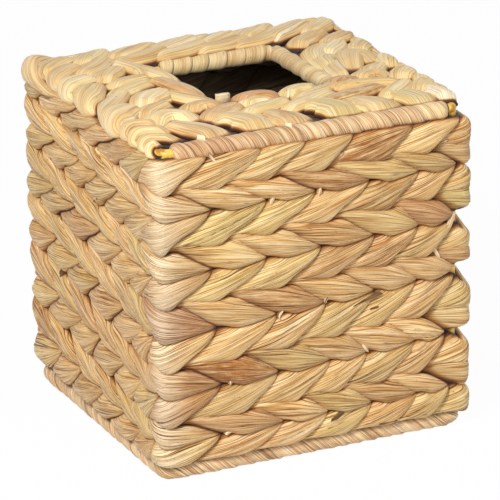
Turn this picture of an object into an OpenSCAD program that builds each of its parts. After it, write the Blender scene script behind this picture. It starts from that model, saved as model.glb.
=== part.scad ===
// Tissue box cover: a cube of twined water hyacinth leaf over a welded wire frame.
// It is open underneath, and the tissues are drawn through the opening in its top.
// Origin: middle of the footprint, on the surface that the cover stands on. Front: -Y.

/* [Cover] */
// Width across the front, over the crests of the weave
cover_w = 140; // [125:1:180]
// Depth from front to back, over the crests of the weave
cover_d = 133; // [120:1:180]
// Height from the rim to the crests on top
cover_h = 140; // [110:1:180]

/* [Opening] */
// Clear width of the opening in the top
opening_w = 49; // [35:1:55]
// Clear depth of the opening in the top
opening_d = 53; // [35:1:55]
// How far the opening lies to the right of the middle
opening_right = 4.5; // [-5:0.5:8]
// How far the opening lies behind the middle
opening_back = 9; // [-5:0.5:10]

/* [Wire frame] */
// Thickness of the wire in the rings and posts
wire_d = 4; // [3:0.25:4.5]
// Radius left inside the bends of the rings when the leaf is wound on
bend_inside = 0.4; // [0.3:0.1:0.6]
// Thickness of the cross wires in the top
cross_wire_d = 3; // [2:0.25:3.5]

/* [Stakes] */
// Number of stakes on each side, between the corner posts
stakes = 5; // [3:1:6]
// Width of a stake
stake_w = 5; // [3:0.5:6]
// Thickness of a stake
stake_t = 1.6; // [1:0.1:2]
// Slack round each stake and wire inside the weave
slack = 0.2; // [0.1:0.05:0.3]
// Leaf between the left edge of the opening and the stake that it turns round
edge_cover = 1.2; // [0.8:0.1:2]

/* [Weave] */
// Rows of leaf on the sides, alternately rising and falling
side_rows = 11; // [7:2:15]
// Part of each pair of rows that the rising one takes
rising_part = 0.6; // [0.45:0.01:0.65]
// Height of the two lowest and the two topmost rows, as a part of the others
end_rows = 0.82; // [0.7:0.01:1]
// How much lower the rows lie at the left-hand front corner than at the other three, half way up
row_climb = 6; // [0:0.5:8]
// Height of the gaps in the weave at the right-hand front corner, where the post shows
corner_gap = 4.5; // [2:0.1:6]
// Height of the crests outside the middle of the stakes
crest = 6.4; // [5.5:0.1:7.5]
// Depth of the creases below the crests
crease_depth = 3.4; // [2:0.1:3.6]
// Height of the crests inside the middle of the stakes
inner_crest = 4.8; // [4.4:0.1:6]
// Height of the crests on top above the middle of the ring wire
top_crest = 5.6; // [5.2:0.1:6.5]
// Depth of the creases on top below the crests
top_crease_depth = 2.6; // [1.5:0.1:2.8]
// How far a leaf leans along its row, as a part of the stake spacing
lean = 0.75; // [0.3:0.05:0.8]
// Rows of leaf in the top, in front of the opening
front_rows = 3; // [2:1:4]
// Depth of the row along the front of the opening, as a part of the rows before it
opening_row = 0.5; // [0.5:0.05:1]
// Rows of leaf in the top, beside the opening
middle_rows = 4; // [3:1:5]
// Rows of leaf in the top, behind the opening
back_rows = 2; // [1:1:3]

/* [Wound wire] */
// Thickness of a ring wire with its winding of leaf
wound_d = 7.5; // [6.5:0.1:8.2]
// Thickness of an opening wire with its winding of leaf
opening_wound_d = 7.2; // [5.5:0.1:7.5]
// Length of wire that one turn of leaf covers
turn_pitch = 12; // [9:0.5:16]
// How far the leading edge of a turn lies under the turn before it
turn_step = 0.5; // [0.3:0.05:0.8]
// How much of the rim winding is worn flat underneath
flat_depth = 0.35; // [0.2:0.05:0.5]

/* [Hidden] */
sides = ["front", "right", "back", "left"];
straw = "#D9B27C";
pale_straw = "#E6C898";
pith = "#EBDCB8";
paint = "#E2B02C";

// Middle of the stakes and ring wires, in plan
path_x = cover_w / 2 - crest;
path_y = cover_d / 2 - crest;
bend_r = wound_d / 2 + bend_inside;
post_in = bend_r * (1 - cos(45));

// Heights
rim_z = wound_d / 2 - flat_depth;
side_bottom = rim_z + wound_d / 2 + slack;
ring_z = cover_h - top_crest;
top_under = ring_z - wound_d / 2 + slack;
side_top = ring_z - wound_d / 2 - slack;

// Leaves along the sides, counted in stake spacings from the near left corner
spacings = stakes + 1;
lobes = 4 * spacings;
lobe_cuts = [0, 0.25, 0.55, 0.88];
lobe_rise = [0, 0.68, 1, 0.86];
row_cuts = [0, 0.24, 0.72];
row_rise = [0, 0.88, 0.94];
line_swing = [0, 1, 0.6, 0.1];
parting_swing = 2.6;
meeting_swing = -1.8;
corner_gap_w = 12;
corner_part = 0.2;
leaf_start = 0.67;
leaf_bow = 0.1;
inner_ripple = 0.8;
crease = crest - crease_depth;
inner_crease = inner_crest - inner_ripple;
pair_h = (side_top - side_bottom) / rows_up_to(side_rows);

// Places in the top
wire_past_stake = 9.6;
hole_left = opening_right - opening_w / 2;
hole_right = opening_right + opening_w / 2;
hole_front = opening_back - opening_d / 2;
hole_back = opening_back + opening_d / 2;
cross_x = hole_right + opening_wound_d / 2;
cross_front = hole_front - wound_d / 2;
cross_back = hole_back + opening_wound_d / 2;
weave_right = cross_x + opening_wound_d / 2 + slack;
weave_back = cross_back + opening_wound_d / 2 + slack;
edge_stake_x = hole_left - stake_w / 2 - edge_cover;
left_wire_x = edge_stake_x - wire_past_stake;
outer_stakes_x = [(left_wire_x - path_x) / 2, (cross_x + path_x) / 2];
inner_stakes_x = [for (k = [0:2]) edge_stake_x + (cross_x - edge_stake_x) * k / 3];
weave_front = bend_r + slack - path_y;

// Ends of the stakes in the top
stake_front = weave_front + slack;
stake_back = path_y - wire_d / 2 - slack;
stake_behind_opening = weave_back + slack;
wire_gap = cross_wire_d / 2 + slack;

// Edges of the top, rolled over the ring wires
roll = 2;
edge_drop = 5.6;
edge_wave = 2;
scallop = 1.6;
shoulder_drop = 1.2;
pinned_part = 0.5;
top_columns = 4 * spacings;
left_column = 4 * floor((hole_left + cover_w / 2) / (cover_w / spacings)) + 1;
right_column = 4 * floor((weave_right + cover_w / 2) / (cover_w / spacings)) + 1;
top_rows = front_rows + middle_rows + back_rows;

// How far a bore's cut runs past both its ends
past = 1;

// Part of a turn that a winding has lost where it starts
lost_turn = 0.27;

// Facets round a bore or a wire, and round a winding
$fn = 48;
winding_sides = 8;

// A point outside the middle line of the sides, at a number of spacings from the near left corner
function side_point(s, out, z) =
    let (m = floor((s + corner_part) / spacings),
         t = s - m * spacings,
         along = min(1, max(0, (t - corner_part) / (spacings - 2 * corner_part))),
         turn = t < corner_part ? 45 * (1 - t / corner_part) : 0,
         half_along = m % 2 == 0 ? path_x : path_y,
         half_out = m % 2 == 0 ? path_y : path_x,
         x = half_along * (2 * along - 1) - out * sin(turn),
         y = -half_out - out * cos(turn),
         face = 90 * m,
         late = t > spacings - corner_part ? 45 * (1 - (spacings - t) / corner_part) : 0,
         lx = late > 0 ? half_along + out * sin(late) : x,
         ly = late > 0 ? -half_out - out * cos(late) : y)
    [lx * cos(face) - ly * sin(face), lx * sin(face) + ly * cos(face), z];

// Height of one row of the sides, and of all rows below a line, in full pairs of rows
function row_share(r) =
    (r % 2 == 0 ? rising_part : 1 - rising_part) * (r < 2 || r >= side_rows - 2 ? end_rows : 1);
function rows_up_to(r) = r == 0 ? 0 : rows_up_to(r - 1) + row_share(r - 1);

// Height of the bottom of a row of the sides, counted from the rim
function row_bottom(r) = side_bottom + pair_h * rows_up_to(r);

// How far the rows have climbed, or dropped, at a place on the sides
function climbed(s, z) =
    let (turned = (s + lobes) % lobes,
         part = min(1, turned / spacings, (lobes - turned) / spacings))
    row_climb * (part - 0.5) * sin(180 * (z - side_bottom) / (side_top - side_bottom));

// Height of a line between two rows, which swings up where leaves part and down where they meet
function row_line(r, cut, s) =
    let (level = row_bottom(r),
         swing = r % 2 == 0 ? parting_swing : meeting_swing)
    r == 0 || r == side_rows ? level
        : level + swing * line_swing[cut] + climbed(s, level);

// How far a leaf has leaned along its row, at a level between two rows
function leaned(r, part) =
    let (up = r % 2 == 0 ? part : 1 - part)
    lean * up + leaf_bow * sin(180 * up);

// Twined leaf on the four sides: leaning lobes outside, plain courses inside
module side_weave() {
    columns = 4 * lobes;
    levels = 3 * side_rows;
    outer = [
        for (q = [0:levels], c = [0:columns - 1])
            let (r = min(floor(q / 3), side_rows - 1),
                 part = q == levels ? 1 : row_cuts[q % 3],
                 bulge = q == levels ? 0 : row_rise[q % 3],
                 cut = c % 4,
                 s = floor(c / 4) + lobe_cuts[cut] - leaf_start + leaned(r, part),
                 out = crease + crease_depth * bulge * lobe_rise[cut],
                 low = row_line(r, cut, s))
            side_point(s, out, low + part * (row_line(r + 1, cut, s) - low))
    ];
    inner_levels = 2 * side_rows;
    inner = [
        for (q = [0:inner_levels], m = [0:3])
            let (r = floor(q / 2),
                 z = q % 2 == 0 ? row_bottom(r) : (row_bottom(r) + row_bottom(r + 1)) / 2,
                 in = q % 2 == 0 ? inner_crease : inner_crest,
                 sx = m == 1 || m == 2 ? 1 : -1,
                 sy = m < 2 ? -1 : 1)
            [sx * (path_x - in), sy * (path_y - in), z]
    ];
    first_inner = len(outer);
    top_row = levels * columns;
    top_inner = first_inner + 4 * inner_levels;
    per_side = columns / 4;
    outer_faces = [
        for (q = [0:levels - 1], c = [0:columns - 1])
            let (a = q * columns + c,
                 b = q * columns + (c + 1) % columns,
                 rising = floor(q / 3) % 2 == 0)
            each rising
                ? [[a, a + columns, b + columns], [a, b + columns, b]]
                : [[a, a + columns, b], [b, a + columns, b + columns]]
    ];
    inner_faces = [
        for (q = [0:inner_levels - 1], m = [0:3])
            let (a = first_inner + 4 * q + m, b = first_inner + 4 * q + (m + 1) % 4)
            [a, b, b + 4, a + 4]
    ];
    bottom_faces = [
        for (m = [0:3])
            let (start = m * per_side + 2)
            concat([first_inner + (m + 1) % 4, first_inner + m],
                   [for (c = [0:per_side]) (start + c) % columns])
    ];
    top_faces = [
        for (m = [0:3])
            let (start = m * per_side)
            concat([top_inner + m, top_inner + (m + 1) % 4],
                   [for (c = [per_side:-1:0]) top_row + (start + c) % columns])
    ];
    color(straw)
        difference() {
            polyhedron(points = concat(outer, inner),
                faces = concat(outer_faces, inner_faces, bottom_faces, top_faces));
            for (side = [0:3], k = [1:stakes])
                at_side_stake(side, k)
                    translate([0, 0, cover_h / 2])
                        cube([stake_w + 2 * slack, stake_t + 2 * slack, cover_h], center = true);
            at_posts()
                cylinder(d = wire_d + 2 * slack, h = cover_h);
            for (r = [3:2:side_rows - 3])
                corner_opening(row_bottom(r) + climbed(spacings, row_bottom(r)));
        }
}

// A gap between two rows at the right-hand front corner, from outside to the post
module corner_opening(z) {
    translate([path_x - post_in, post_in - path_y, z])
        rotate([90, 0, 45])
            scale([corner_gap_w / corner_gap, 1, 1])
                cylinder(d = corner_gap, h = crest + wound_d, $fn = 16);
}

// Places its child at a stake of one side, in its own plane
module at_side_stake(side, k) {
    half_along = side % 2 == 0 ? path_x : path_y;
    half_out = side % 2 == 0 ? path_y : path_x;
    rotate([0, 0, 90 * side])
        translate([half_along * (2 * k / spacings - 1), -half_out, 0])
            children();
}

// Places its child at each corner post
module at_posts() {
    for (sx = [-1, 1], sy = [-1, 1])
        translate([sx * (path_x - post_in), sy * (path_y - post_in), 0])
            children();
}

// A flat strip with round edges, standing up
module strip(length) {
    linear_extrude(length)
        union() {
            square([stake_w - stake_t, stake_t], center = true);
            for (side = [-1, 1])
                translate([side * (stake_w - stake_t) / 2, 0])
                    circle(d = stake_t);
        }
}

module side_stake(side, k) {
    color(pith)
        at_side_stake(side, k)
            translate([0, 0, side_bottom])
                strip(side_top - side_bottom);
}

// A stake lying in the top, from one depth to another
module top_stake(x, y_from, y_to) {
    color(pith)
        translate([x, y_from, ring_z])
            rotate([-90, 0, 0])
                strip(y_to - y_from);
}

// Room for such a stake inside the weave
module top_channel(x, y_from, y_to) {
    translate([x - stake_w / 2 - slack, y_from, ring_z - stake_t / 2 - slack])
        cube([stake_w + 2 * slack, y_to - y_from, stake_t + 2 * slack]);
}

// Where a column of the top lies across the cover
function column_place(c) = floor((c - 1) / 4) + lobe_cuts[(c + 3) % 4];

function between(c, c_from, c_to, x_from, x_to) =
    x_from + (x_to - x_from) * (column_place(c) - column_place(c_from))
        / (column_place(c_to) - column_place(c_from));

function column_x(c) =
    let (inner = cover_w / 2 - roll)
    c == 0 ? -cover_w / 2
    : c == top_columns ? cover_w / 2
    : c <= left_column ? between(c, 1, left_column, -inner, hole_left)
    : c <= right_column ? between(c, left_column, right_column, hole_left, weave_right)
    : between(c, right_column, top_columns - 1, weave_right, inner);

// Depth of the front of a row of the top
function row_front(r) =
    r < front_rows ? weave_front + (hole_front - weave_front) * r / (front_rows - 1 + opening_row)
    : r == front_rows ? hole_front
    : r <= front_rows + middle_rows
        ? hole_front + (weave_back - hole_front) * (r - front_rows) / middle_rows
    : weave_back + (cover_d / 2 - roll - weave_back) * (r - front_rows - middle_rows) / back_rows;

// Brings a point of the top inside its rounded corners
function in_corner(x, y, r) =
    let (dx = max(0, abs(x) - (cover_w / 2 - r)),
         dy = max(0, y - (cover_d / 2 - r)),
         far = max(dx, dy),
         pull = far > 0 ? far / norm([dx, dy]) : 1)
    [sign(x) * (abs(x) - dx + dx * pull), y - dy + dy * pull];

// Twined leaf on top: rows from left to right, rolled over the ring wires at three edges
module top_weave() {
    levels = 3 * top_rows;
    last_level = levels + 1;
    per_level = top_columns + 1;
    hole_from = 3 * front_rows;
    hole_to = 3 * (front_rows + middle_rows);
    top_crease = top_crest - top_crease_depth;
    skin = [
        for (q = [0:last_level], c = [0:top_columns])
            let (r = min(floor(q / 3), top_rows - 1),
                 part = q >= levels ? 1 : row_cuts[q % 3],
                 bulge = q >= levels ? 0 : row_rise[q % 3],
                 up = r % 2 == 0 ? 1 - part : part,
                 to_edge = min(c - 1, top_columns - 1 - c) / 4,
                 to_hole = min(abs(c - left_column), abs(c - right_column)) / 4,
                 beside = q >= hole_from && q <= hole_to,
                 free = min(1, (beside ? min(to_edge, to_hole) : to_edge) / pinned_part),
                 lie = lean * (up - 0.5) + leaf_bow * sin(180 * up),
                 shift = lie * max(0, free) * cover_w / spacings,
                 y = q > levels ? cover_d / 2
                     : row_front(r) + part * (row_front(r + 1) - row_front(r)),
                 plan = in_corner(column_x(c) + shift, y, crest),
                 end = c == 0 || c == top_columns || q > levels,
                 dent = end && q <= levels ? scallop * (1 - bulge) : 0,
                 shoulder = q > 0 && (c == 1 || c == top_columns - 1) || q == levels,
                 rise = top_crease + top_crease_depth * bulge * lobe_rise[(c + 3) % 4],
                 wave = q > levels ? lobe_rise[(c + 3) % 4] : bulge,
                 z = end ? top_crest - edge_drop + edge_wave * wave
                     : shoulder ? max(rise, top_crest - shoulder_drop)
                     : rise)
            [plan[0] - dent * sign(plan[0]), plan[1], ring_z + z]
    ];
    under_at = function (q, c) [skin[q * per_level + c][0], skin[q * per_level + c][1], top_under];
    under = [for (q = [0:last_level], c = [0, left_column, right_column, top_columns]) under_at(q, c)];
    back_line = [for (c = [0:top_columns]) under_at(last_level, c)];
    first_under = len(skin);
    first_back = first_under + len(under);
    covered = function (q, c)
        q < hole_from || q >= hole_to || c < left_column || c >= right_column;
    skin_faces = [
        for (q = [0:last_level - 1], c = [0:top_columns - 1])
            if (covered(q, c))
                let (a = q * per_level + c, b = a + per_level,
                     falling = floor(q / 3) % 2 == 0)
                each falling
                    ? [[a, b, a + 1], [a + 1, b, b + 1]]
                    : [[a, b, b + 1], [a, b + 1, a + 1]]
    ];
    under_faces = [
        for (q = [0:last_level - 1])
            let (u = first_under + 4 * q, w = u + 4, beside = q >= hole_from && q < hole_to)
            each beside ? [[u, u + 1, w + 1, w], [u + 2, u + 3, w + 3, w + 2]]
                : q + 1 == hole_from ? [[u, u + 3, w + 3, w + 2, w + 1, w]]
                : q == hole_to ? [[w, u, u + 1, u + 2, u + 3, w + 3]]
                : q == last_level - 1
                    ? [concat([u, u + 3], [for (c = [top_columns:-1:0]) first_back + c])]
                : [[u, u + 3, w + 3, w]]
    ];
    edge_faces = [
        for (q = [0:last_level - 1])
            let (u = first_under + 4 * q,
                 left = q * per_level,
                 right = left + top_columns,
                 w_left = q == last_level - 1 ? first_back : u + 4,
                 w_right = q == last_level - 1 ? first_back + top_columns : u + 7)
            each [[left, u, w_left, left + per_level],
                  [right, right + per_level, w_right, u + 3]]
    ];
    back_faces = [
        for (c = [0:top_columns - 1])
            let (a = last_level * per_level + c)
            [a, first_back + c, first_back + c + 1, a + 1]
    ];
    front_face = concat([first_under + 3, first_under], [for (c = [0:top_columns]) c]);
    hole_sides = [
        for (q = [hole_from:hole_to - 1])
            let (u = first_under + 4 * q,
                 a = q * per_level + left_column,
                 b = q * per_level + right_column)
            each [[a, a + per_level, u + 5, u + 1],
                  [b, u + 2, u + 6, b + per_level]]
    ];
    hole_front_face = concat(
        [first_under + 4 * hole_from + 1, first_under + 4 * hole_from + 2],
        [for (c = [right_column:-1:left_column]) hole_from * per_level + c]);
    hole_back_face = concat(
        [first_under + 4 * hole_to + 2, first_under + 4 * hole_to + 1],
        [for (c = [left_column:right_column]) hole_to * per_level + c]);
    groove = wire_d / 2 + slack;
    bore = cross_wire_d / 2 + slack;
    bend_room = bend_r + slack;
    far = cover_d;
    color(pale_straw)
        difference() {
            polyhedron(points = concat(skin, under, back_line),
                faces = concat(skin_faces, under_faces, edge_faces, back_faces,
                    hole_sides, [front_face, hole_front_face, hole_back_face]));
            for (side = [-1, 1])
                translate([side * path_x - groove, -far / 2, 0])
                    cube([2 * groove, far / 2 + path_y, ring_z + groove]);
            translate([-path_x, path_y - groove, 0])
                cube([2 * path_x, 2 * groove, ring_z + groove]);
            for (side = [-1, 1])
                translate([side * (path_x - bend_room / 2) - bend_room / 2 - groove,
                        path_y - bend_r - groove, 0])
                    cube([bend_room + 2 * groove, bend_r + 2 * groove, ring_z + groove]);
            for (x = outer_stakes_x)
                top_channel(x, -far / 2, path_y);
            top_channel(edge_stake_x, cross_front, cross_back);
            for (x = inner_stakes_x) {
                top_channel(x, -far / 2, cross_front);
                top_channel(x, cross_back, path_y);
            }
            for (x = [left_wire_x, cross_x])
                translate([x, -far / 2, ring_z])
                    rotate([-90, 0, 0])
                        cylinder(r = bore, h = far / 2 + path_y);
            for (y = [cross_front, cross_back])
                translate([left_wire_x, y, ring_z])
                    rotate([0, 90, 0])
                        cylinder(r = bore, h = cross_x - left_wire_x);
        }
}

// A ring of wire, bent at its four corners
module wire_ring(z) {
    translate([0, 0, z])
        for (m = [0:3]) {
            along = m % 2 == 0 ? path_x : path_y;
            out = m % 2 == 0 ? path_y : path_x;
            rotate([0, 0, 90 * m]) {
                translate([bend_r - along, -out, 0])
                    rotate([0, 90, 0])
                        cylinder(d = wire_d, h = 2 * (along - bend_r));
                translate([along - bend_r, bend_r - out, 0])
                    rotate([0, 0, -90])
                        rotate_extrude(angle = 90)
                            translate([bend_r, 0])
                                circle(d = wire_d);
            }
        }
}

// Welded frame: rim ring, top ring, corner posts and the wires round the opening
module wire_frame() {
    color(paint)
        union() {
            wire_ring(rim_z);
            wire_ring(ring_z);
            at_posts()
                translate([0, 0, rim_z])
                    cylinder(d = wire_d, h = ring_z - rim_z);
            for (x = [left_wire_x, cross_x])
                translate([x, -path_y, ring_z])
                    rotate([-90, 0, 0])
                        cylinder(d = cross_wire_d, h = 2 * path_y);
            for (y = [cross_front, cross_back])
                translate([left_wire_x, y, ring_z])
                    rotate([0, 90, 0])
                        cylinder(d = cross_wire_d, h = cross_x - left_wire_x);
        }
}

// A strip of leaf wound round a straight wire that runs along X from the start of the winding.
// What its children fill is left free.
module winding(length, d, wire) {
    n = winding_sides;
    turns = ceil(length / turn_pitch + lost_turn) + 1;
    count = n * turns;
    high = d / 2;
    low = high - turn_step;
    ring_point = function (i, r)
        let (turned = 360 * (i + 0.5) / n)
        [(i / n - 1 - lost_turn) * turn_pitch, r * cos(turned), r * sin(turned)];
    lows = [for (i = [0:count]) ring_point(i, low)];
    highs = [for (i = [n:count + n]) ring_point(i, high)];
    first_high = len(lows);
    start_tip = first_high + len(highs);
    end_tip = start_tip + 1;
    tips = [[-2 * turn_pitch, 0, 0], [(turns + 0.5) * turn_pitch, 0, 0]];
    leaf_faces = [for (i = [0:count - 1]) [i, i + 1, first_high + i + 1, first_high + i]];
    step_faces = [for (i = [0:count - n - 1])
        [first_high + i, first_high + i + 1, i + n + 1, i + n]];
    start_faces = concat([for (i = [0:n - 1]) [start_tip, i + 1, i]],
        [[start_tip, first_high, n], [start_tip, 0, first_high]]);
    end_faces = concat(
        [for (i = [count - n:count - 1]) [end_tip, first_high + i, first_high + i + 1]],
        [[end_tip, first_high + count, count], [end_tip, count, first_high + count - n]]);
    difference() {
        intersection() {
            polyhedron(points = concat(lows, highs, tips),
                faces = concat(leaf_faces, step_faces, start_faces, end_faces));
            translate([0, -d, -d])
                cube([length, 2 * d, 2 * d]);
        }
        translate([-past, 0, 0])
            rotate([0, 90, 0])
                cylinder(d = wire + slack, h = length + 2 * past);
        children();
    }
}

// Cuts the posts and the worn underside out of a piece of the rim winding
module seated_on_rim() {
    color(straw)
        difference() {
            children();
            at_posts()
                translate([0, 0, rim_z])
                    cylinder(d = wire_d + 2 * slack, h = wound_d);
            translate([0, 0, -wound_d / 2])
                cube([cover_w, cover_d, wound_d], center = true);
        }
}

// The winding along one side of the rim
module rim_winding(side) {
    along = side % 2 == 0 ? path_x : path_y;
    out = side % 2 == 0 ? path_y : path_x;
    seated_on_rim()
        rotate([0, 0, 90 * side])
            translate([bend_r - along, -out, rim_z])
                winding(2 * (along - bend_r), wound_d, wire_d);
}

// The winding round the bend at the right-hand end of one side of the rim
module rim_corner(side) {
    along = side % 2 == 0 ? path_x : path_y;
    out = side % 2 == 0 ? path_y : path_x;
    seated_on_rim()
        rotate([0, 0, 90 * side - 90])
            translate([out - bend_r, along - bend_r, rim_z])
                rotate_extrude(angle = 90)
                    translate([bend_r, 0])
                        difference() {
                            circle(d = wound_d);
                            circle(d = wire_d + slack);
                        }
}

module front_edge_winding() {
    start = bend_r - path_x;
    color(straw)
        translate([start, -path_y, ring_z])
            winding(-2 * start, wound_d, wire_d)
                for (x = [left_wire_x, cross_x])
                    translate([x - start, 0, 0])
                        rotate([-90, 0, 0])
                            cylinder(d = cross_wire_d + 2 * slack, h = wound_d);
}

module opening_winding_back() {
    color(pale_straw)
        translate([hole_left + slack, cross_back, ring_z])
            winding(opening_w - 2 * slack, opening_wound_d, cross_wire_d);
}

module opening_winding_right() {
    y_from = hole_front + slack;
    y_to = cross_back - cross_wire_d / 2 - slack;
    color(pale_straw)
        translate([cross_x, y_from, ring_z])
            rotate([0, 0, 90])
                winding(y_to - y_from, opening_wound_d, cross_wire_d);
}

wire_frame();
side_weave();
top_weave();
front_edge_winding();
opening_winding_back();
opening_winding_right();
for (i = [0:3])
    rim_winding(i);
for (i = [0:3])
    rim_corner(i);
for (i = [0:3], k = [1:stakes])
    side_stake(i, k);
top_stake(outer_stakes_x[0], stake_front, stake_back);  // top_stake_left
top_stake(outer_stakes_x[1], stake_front, stake_back);  // top_stake_right
top_stake(edge_stake_x, cross_front + wire_gap, cross_back - wire_gap);  // opening_stake
for (k = [1:3])
    top_stake(inner_stakes_x[k - 1], stake_front, cross_front - wire_gap);
for (k = [1:3])
    top_stake(inner_stakes_x[k - 1], stake_behind_opening, stake_back);
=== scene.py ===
import math
import bpy
import numpy as np
from mathutils import Matrix, Vector


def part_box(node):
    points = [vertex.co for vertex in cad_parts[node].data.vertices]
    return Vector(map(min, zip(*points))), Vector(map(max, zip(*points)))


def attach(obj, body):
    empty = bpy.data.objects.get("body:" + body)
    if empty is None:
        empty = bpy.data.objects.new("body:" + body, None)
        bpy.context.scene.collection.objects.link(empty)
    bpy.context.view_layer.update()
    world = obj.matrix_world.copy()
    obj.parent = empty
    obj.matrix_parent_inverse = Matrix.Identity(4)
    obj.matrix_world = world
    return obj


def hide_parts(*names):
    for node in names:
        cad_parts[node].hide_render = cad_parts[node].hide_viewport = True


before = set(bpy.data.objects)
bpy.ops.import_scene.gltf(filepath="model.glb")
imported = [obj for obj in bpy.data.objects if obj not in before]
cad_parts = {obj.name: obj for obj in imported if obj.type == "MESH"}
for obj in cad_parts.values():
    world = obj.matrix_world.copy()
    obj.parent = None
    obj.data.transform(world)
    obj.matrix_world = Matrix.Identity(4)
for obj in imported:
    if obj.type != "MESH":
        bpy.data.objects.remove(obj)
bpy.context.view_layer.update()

mm = 0.001

# the cover's own sizes in mm, read from the frame
wireThick = 4.0
wireLow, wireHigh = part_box("wire_frame")
ringX = wireHigh.x / mm - wireThick / 2   # middle of the ring wire
ringY = wireHigh.y / mm - wireThick / 2
ringZ = wireHigh.z / mm - wireThick / 2
rimZ = wireLow.z / mm + wireThick / 2
backLow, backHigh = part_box("opening_winding_back")
rightLow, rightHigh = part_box("opening_winding_right")
crossBackY = (backLow.y + backHigh.y) / 2 / mm
crossRightX = (rightLow.x + rightHigh.x) / 2 / mm
hole = {
    "left": backLow.x / mm,
    "right": backHigh.x / mm,
    "front": rightLow.y / mm,
    "back": backLow.y / mm,
}
print("frame", round(ringX, 2), round(ringY, 2), round(ringZ, 2), hole)


# colours and nodes

def linear(hexText):
    parts = [int(hexText[i:i + 2], 16) / 255 for i in (1, 3, 5)]
    return [c / 12.92 if c <= 0.04045 else ((c + 0.055) / 1.055) ** 2.4 for c in parts] + [1.0]


def addNode(tree, kind, inputs=None, stops=None, **settings):
    # inputs are values or sockets to link, stops are a ramp's places and colours
    node = tree.nodes.new(kind)
    for name, value in settings.items():
        setattr(node, name, value)
    for name, value in (inputs or {}).items():
        if isinstance(value, bpy.types.NodeSocket):
            tree.links.new(value, node.inputs[name])
        else:
            node.inputs[name].default_value = value
    for number, (place, hexText) in enumerate(stops or []):
        while len(node.color_ramp.elements) < len(stops):
            node.color_ramp.elements.new(0.5)
        node.color_ramp.elements[number].position = place
        node.color_ramp.elements[number].color = linear(hexText)
    return node


def emptyMaterial(name):
    material = bpy.data.materials.new(name)
    material.use_nodes = True
    material.node_tree.nodes.clear()
    return material, material.node_tree


# Dried water hyacinth leaf, folded flat and twisted. The eye sees long fibres with a few dark veins, broad
# soft folds, a tone of its own on each strand, greener, browner and pithy stretches, and painted crease
# shade.
leafLook = {
    "shade": "#C89858", "body": "#E5BE80", "light": "#F1D19C", "pale": "#FBEAC5",
    "green": "#D9CB84", "red": "#CE9870", "brown": "#B0702C", "pith": "#F8EED6",
    "bandLong": 30.0, "bandWide": 1.8,      # folds of the leaf, mm
    "fibreLong": 24.0, "fibreWide": 0.36,   # fibres, drawn coarser than real ones, which are too fine to show
    "veinLong": 34.0, "veinWide": 0.6,      # the few darker veins
    "blotchLong": 9.0, "blotchWide": 3.0,   # where the brown stain lies
    "fleckLong": 2.2, "fleckWide": 1.1,     # small dark flecks
    "greenShare": 0.85, "redShare": 0.8,    # how far a full stain hides the leaf's own colour
    "fibreDark": 1.0, "veinDark": 0.9, "flecks": 0.5,
    "bump": 0.7, "fineBump": 0.7, "bumpDeep": 0.0006,   # the last in metres
    "rough": 0.5, "roughSwing": 0.08,
}
strandsApart = 7.3   # how far the strands' own numbers move them apart in the noise


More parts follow.
